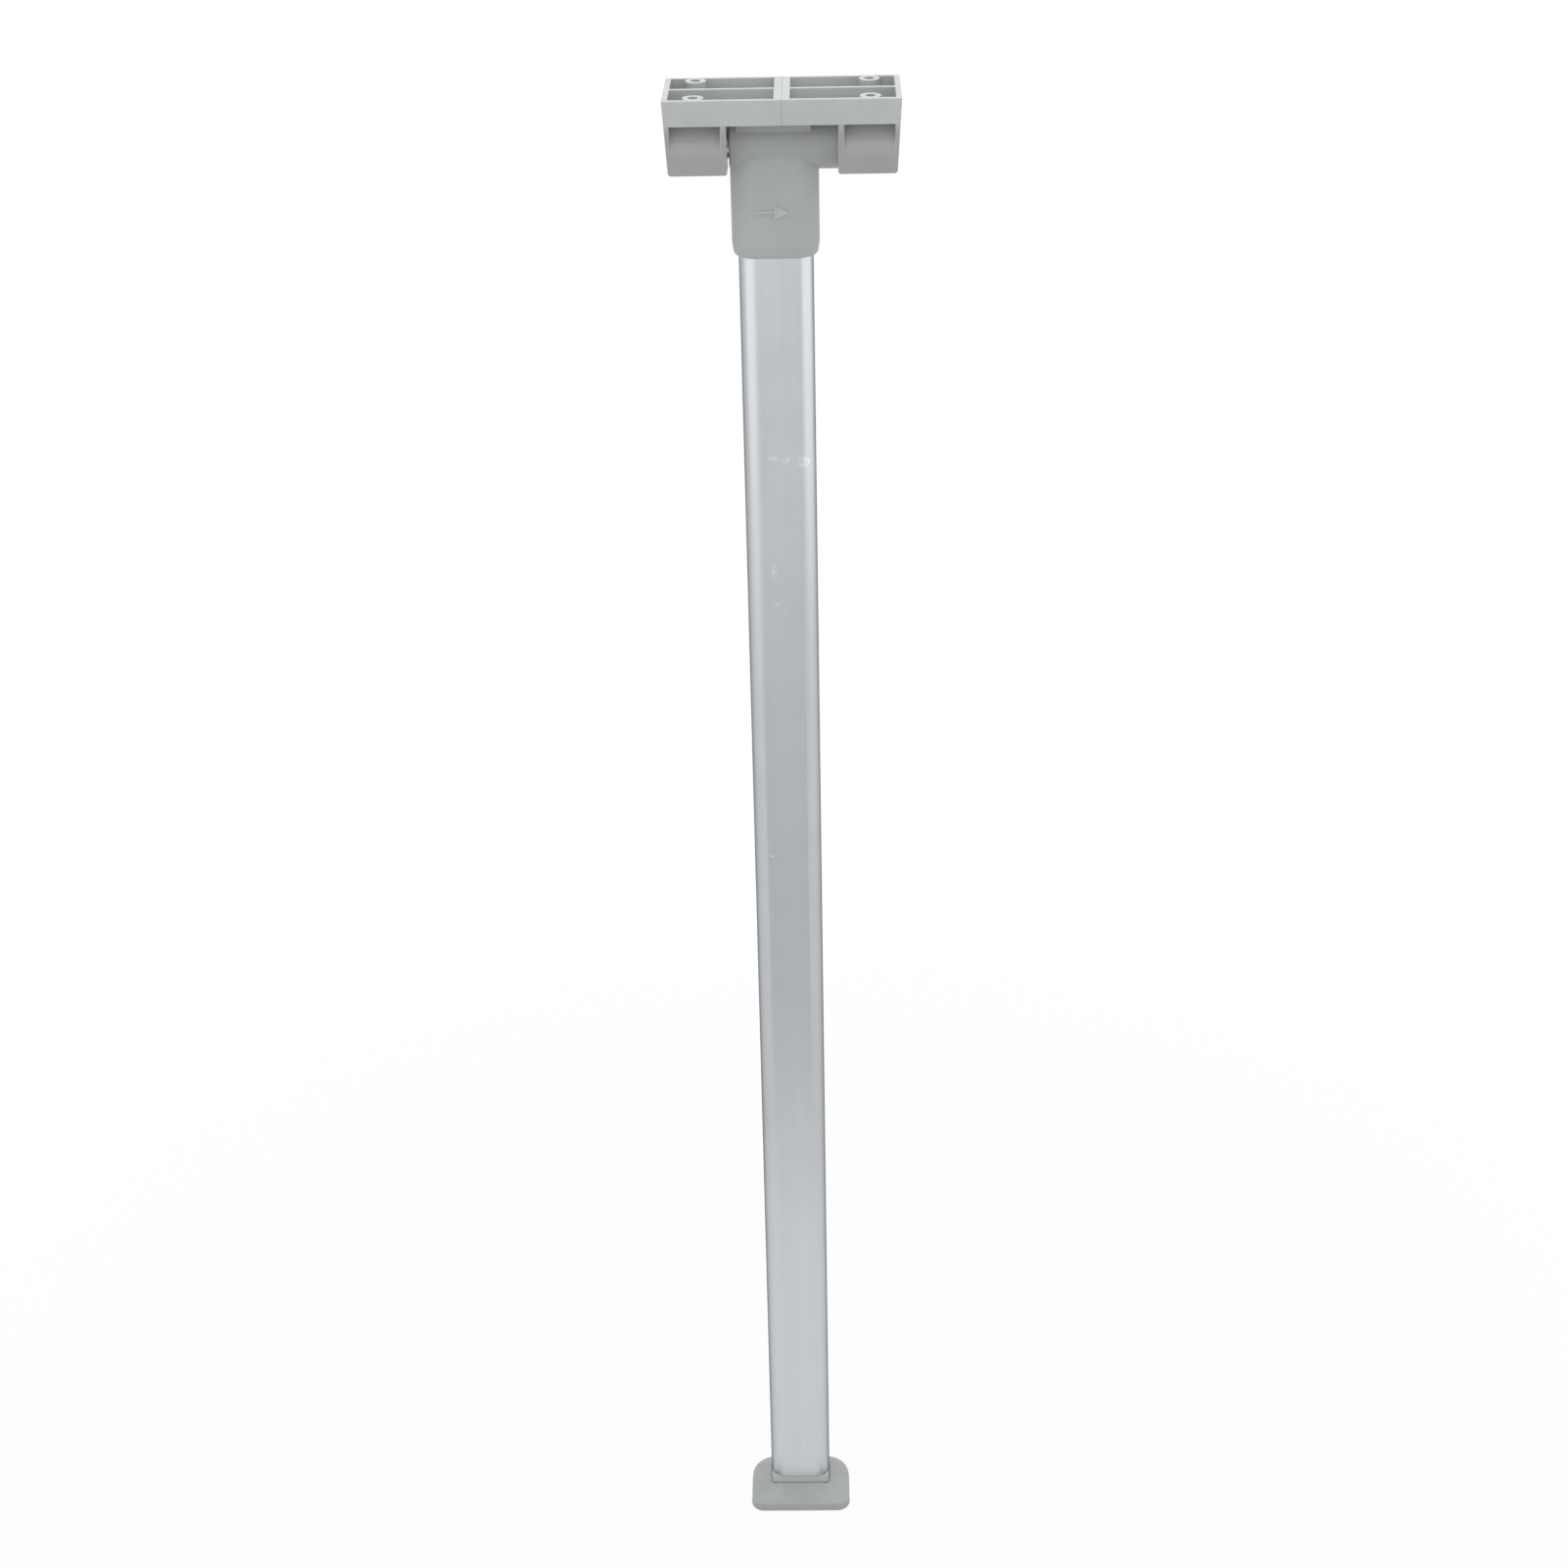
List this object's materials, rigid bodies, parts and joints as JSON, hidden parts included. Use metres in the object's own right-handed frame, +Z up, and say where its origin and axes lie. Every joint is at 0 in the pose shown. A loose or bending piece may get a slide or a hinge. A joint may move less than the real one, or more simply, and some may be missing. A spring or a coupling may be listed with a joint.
{
  "type": "folding table leg",
  "caption": "Folding table leg: two-part plastic bracket with a sprung slide-to-unlock hinge, flat-oval aluminium tube and a wide foot.",
  "frame": {"origin": "centre of the bracket's table face, in the middle of the screw pattern", "axes": "+X along the pivot pin in the direction that unlocks the leg, +Y to the back, where the leg folds, +Z up into the table"},
  "size_m": [0.092, 0.039, 0.725],
  "materials": {
    "bracket_plastic": "light grey moulded, fine grain",
    "head_plastic": "light grey moulded, fine grain",
    "foot_plastic": "light grey moulded, fine grain",
    "tube_aluminium": "satin anodised, lightly scuffed",
    "steel": "zinc plated"
  },
  "bodies": {
    "bracket": {"bracket_left": "bracket_plastic", "bracket_right": "bracket_plastic"},
    "pivot": {"pivot_pin": "steel", "return_spring": "steel"},
    "leg": {"spring_washer": "steel", "leg_head": "head_plastic", "leg_tube": "tube_aluminium", "tube_screw": "steel", "foot_plug": "foot_plastic", "foot_pad": "foot_plastic", "foot_screw": "steel"}
  },
  "joints": [
    {"name": "leg_fold", "type": "hinge", "parent": "bracket", "child": "pivot", "pos_m": [0, 0, -0.0206], "axis": [1, 0, 0], "range_deg": [0, 90]},
    {"name": "unlock_slide", "type": "slide", "parent": "pivot", "child": "leg", "axis": [1, 0, 0], "range_m": [0, 0.007], "stiffness_N_per_m": 1500, "deforming": ["return_spring"]}
  ]
}
